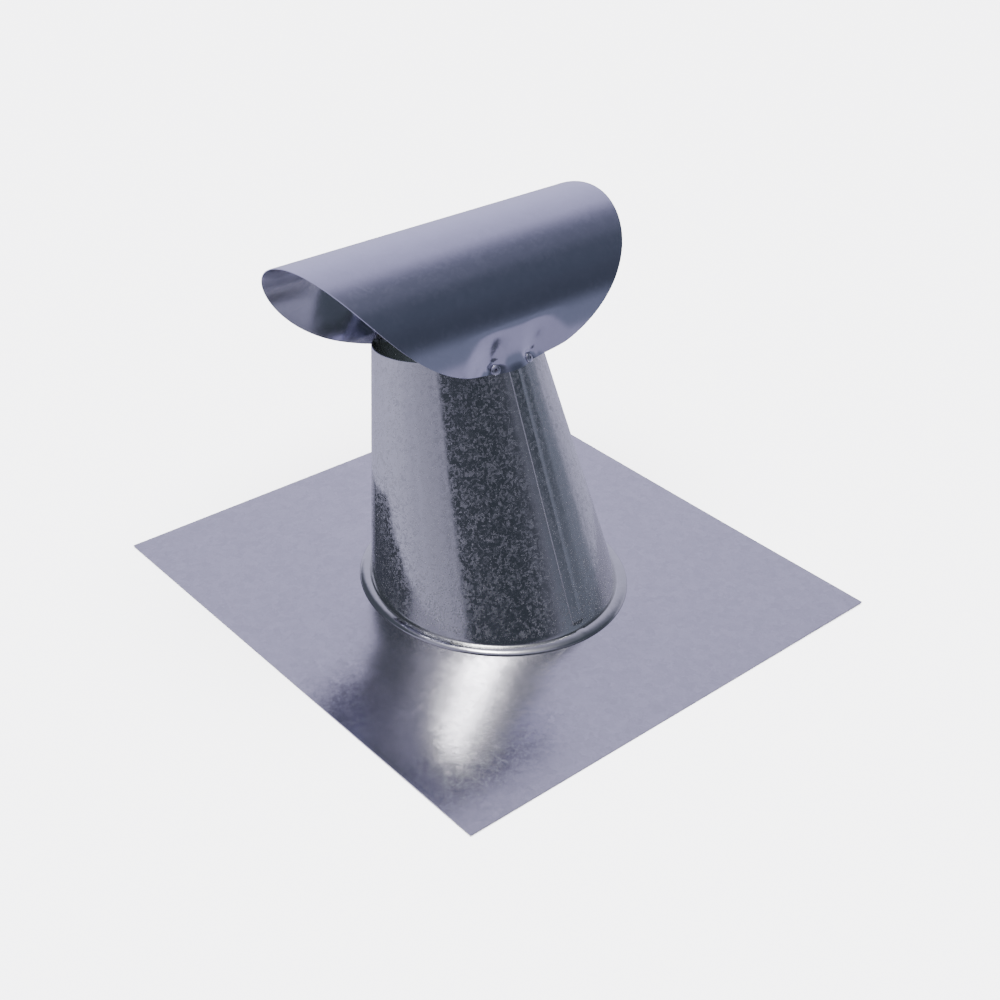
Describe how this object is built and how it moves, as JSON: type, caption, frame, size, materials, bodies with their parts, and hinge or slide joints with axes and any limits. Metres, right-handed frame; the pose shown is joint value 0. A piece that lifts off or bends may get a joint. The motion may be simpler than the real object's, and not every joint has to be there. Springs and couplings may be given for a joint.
{
  "type": "tee-top roof jack",
  "caption": "Galvanised roof jack: square flange, leaning tapered stack and open tee cap that keeps rain out of a vent pipe.",
  "frame": {"origin": "centre of the flange's underside, where it rests on the roof deck", "axes": "+Z is the flange's normal, +Y points uphill, towards which the stack leans, and the tee cap lies along X"},
  "size_m": [0.34, 0.34, 0.2268],
  "materials": {
    "galvanised_flange": "galvanised sheet with fine spangle",
    "galvanised_stack": "galvanised sheet with coarse bright spangle",
    "galvanised_cap": "galvanised sheet, smooth and bright, rolled",
    "rivet_aluminium": "bright blind rivet",
    "mandrel_steel": "broken steel mandrel, dull"
  },
  "bodies": {
    "root": {"base_flange": "galvanised_flange", "stack": "galvanised_stack", "tee_cap": "galvanised_cap", "rivet_front_left": "rivet_aluminium", "rivet_front_right": "rivet_aluminium", "rivet_back_left": "rivet_aluminium", "rivet_back_right": "rivet_aluminium", "mandrel_front_left": "mandrel_steel", "mandrel_front_right": "mandrel_steel", "mandrel_back_left": "mandrel_steel", "mandrel_back_right": "mandrel_steel"}
  },
  "joints": []
}
